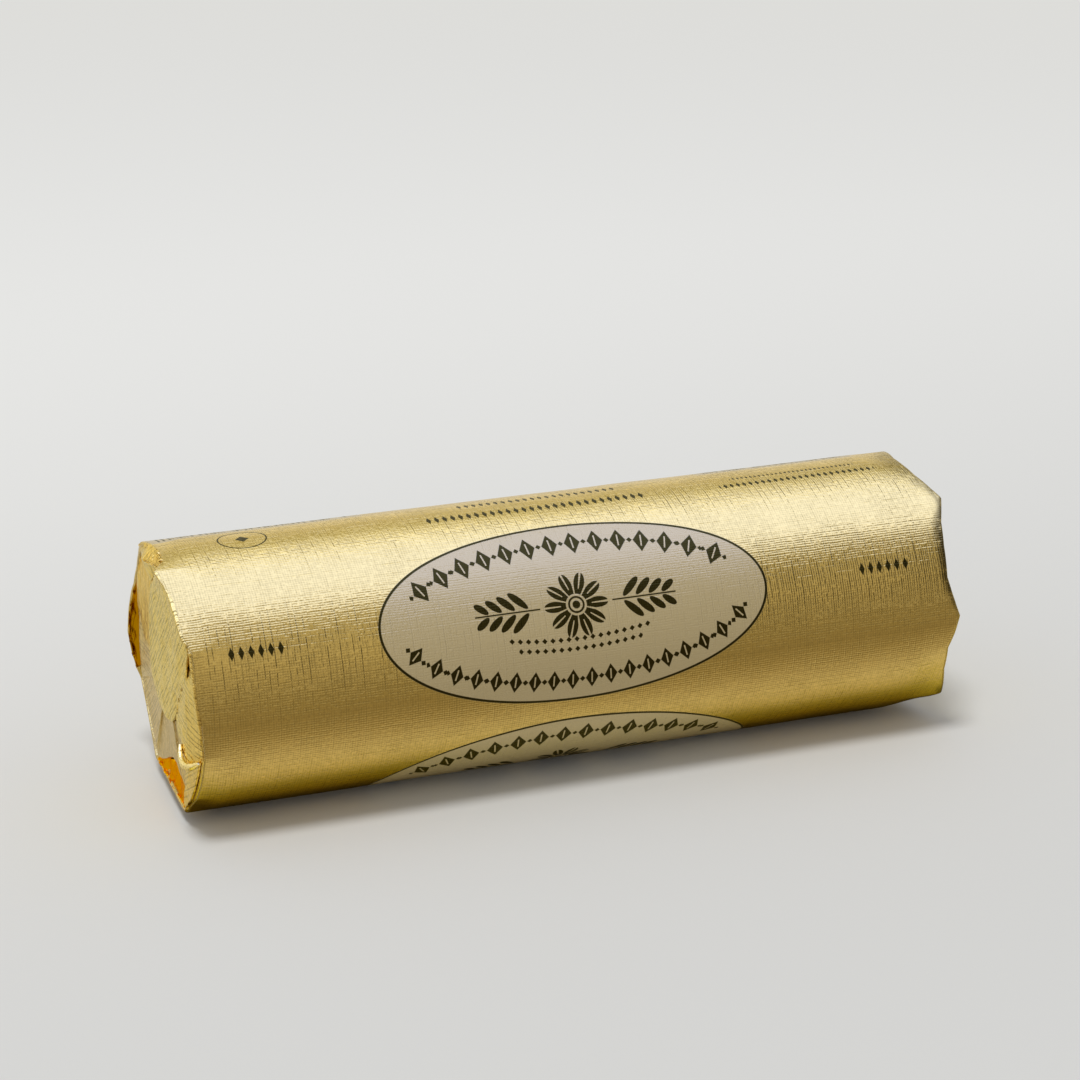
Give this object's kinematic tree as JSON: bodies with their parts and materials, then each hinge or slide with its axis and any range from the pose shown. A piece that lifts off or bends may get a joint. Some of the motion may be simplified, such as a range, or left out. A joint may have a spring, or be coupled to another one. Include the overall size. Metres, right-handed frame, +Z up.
{
  "type": "roll of butter",
  "caption": "Roll of butter in gold foil with folded ends, lying on its side; a shut pack for kitchens, tables and shop shelves.",
  "frame": {"origin": "under the middle of the roll, on the surface that it rests on", "axes": "+X along the roll, +Z up, the printed front towards -Y"},
  "size_m": [0.153, 0.05, 0.0493],
  "materials": {
    "gold_foil": "gold-coloured foil with a fine linen emboss, and dark green print"
  },
  "bodies": {
    "root": {"wrapped_roll": "gold_foil"}
  },
  "joints": []
}
